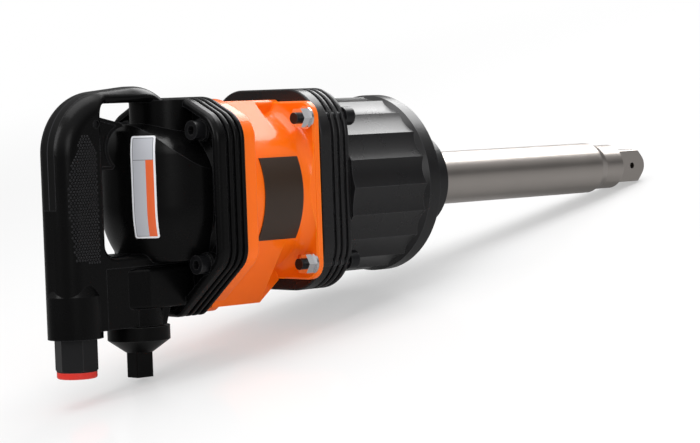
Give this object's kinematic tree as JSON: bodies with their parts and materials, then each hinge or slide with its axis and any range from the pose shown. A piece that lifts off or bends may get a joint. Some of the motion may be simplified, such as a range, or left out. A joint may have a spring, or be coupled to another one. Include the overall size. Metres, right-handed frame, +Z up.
{
  "type": "air impact wrench",
  "caption": "Heavy air impact wrench: D-handled black head, orange motor housing, fluted hammer case and a long square-drive anvil.",
  "frame": {"origin": "centre of the bounding box at floor level, with the tool lying as it rests on its reversing tab and square drive", "axes": "+Z up, +X towards the square drive (the spindle slopes down towards it by 12.09 degrees), +Y to the tool's left; XZ is the symmetry plane"},
  "size_m": [0.6052, 0.1294, 0.2013],
  "materials": {
    "black_casting": "satin black powder coat on aluminium",
    "case_casting": "satin charcoal coat on the hammer case",
    "orange_housing": "glossy orange coat on aluminium",
    "bright_steel": "turned steel, light satin",
    "machined_steel": "plain machined steel",
    "black_steel": "black oxide",
    "zinc_nut": "bright chrome",
    "black_rubber": "matt",
    "red_plug": "semi-gloss",
    "label": "blank printed foil with a plain orange band",
    "data_plate": "blank dark foil plate",
    "gasket": "gasket fibre",
    "brass": "plain",
    "vane_plastic": "phenolic laminate",
    "knob_coat": "satin black"
  },
  "bodies": {
    "tool": {"hammer_case": "case_casting", "anvil_bushing": "brass", "nose_seal": "black_rubber", "case_bolts": "black_steel", "case_nuts": "zinc_nut", "case_washers": "zinc_nut", "motor_housing": "orange_housing", "front_gasket": "gasket", "rear_gasket": "gasket", "data_plate": "data_plate", "rear_end_plate": "machined_steel", "front_end_plate": "machined_steel", "rear_bearing": "machined_steel", "front_bearing": "machined_steel", "cylinder_liner": "machined_steel", "backhead": "black_casting", "grip_strip": "black_rubber", "dome_sticker": "label", "head_screws": "black_steel", "head_washers": "black_steel", "inlet_bushing": "black_steel", "inlet_plug": "red_plug", "inlet_strainer": "brass", "trigger_pin": "machined_steel", "throttle_seat": "brass", "throttle_plug": "machined_steel", "throttle_spring": "machined_steel", "detent_ball": "machined_steel", "detent_spring": "machined_steel"},
    "motor_spindle": {"rotor": "machined_steel", "vane_1": "vane_plastic", "vane_2": "vane_plastic", "vane_3": "vane_plastic", "vane_4": "vane_plastic", "vane_5": "vane_plastic", "vane_6": "vane_plastic", "hammer_cage": "machined_steel", "hammer_pin_upper": "machined_steel", "hammer_pin_lower": "machined_steel"},
    "rear_hammer": {"rear_hammer": "machined_steel"},
    "front_hammer": {"front_hammer": "machined_steel"},
    "anvil": {"anvil": "bright_steel"},
    "trigger": {"trigger": "black_casting"},
    "throttle": {"throttle_valve": "machined_steel"},
    "reverser": {"reverse_valve": "machined_steel", "reverse_knob": "knob_coat"}
  },
  "joints": [
    {"name": "anvil_spin", "type": "hinge", "parent": "tool", "child": "anvil", "pos_m": [0.07525, 0, 0.06021], "axis": [0.9778, 0, -0.2094], "continuous": true},
    {"name": "motor_spin", "type": "hinge", "parent": "tool", "child": "motor_spindle", "pos_m": [-0.12521, 0, 0.10314], "axis": [0.9778, 0, -0.2094], "continuous": true},
    {"name": "rear_hammer_swing", "type": "hinge", "parent": "motor_spindle", "child": "rear_hammer", "pos_m": [-0.07216, 0, 0.13115], "axis": [0.9778, 0, -0.2094], "range_deg": [-3, 3]},
    {"name": "front_hammer_swing", "type": "hinge", "parent": "motor_spindle", "child": "front_hammer", "pos_m": [-0.05094, 0, 0.04786], "axis": [0.9778, 0, -0.2094], "range_deg": [-3, 3]},
    {"name": "trigger_pull", "type": "hinge", "parent": "tool", "child": "trigger", "pos_m": [-0.2429, 0, 0.18153], "axis": [0, 1, 0], "range_deg": [0, 8], "stiffness_Nm_per_rad": 2.5, "springref_deg": -2.29},
    {"name": "throttle_push", "type": "slide", "parent": "tool", "child": "throttle", "axis": [-0.9778, 0, 0.2094], "range_m": [0, 0.00317], "deforming": ["throttle_spring"]},
    {"name": "reverse_turn", "type": "hinge", "parent": "tool", "child": "reverser", "pos_m": [-0.23024, 0, 0.03769], "axis": [0.2094, 0, 0.9778], "range_deg": [-45, 45]}
  ],
  "couplings": [
    {"joint": "throttle_push", "follows": "trigger_pull", "m_per_rad": 0.022}
  ]
}
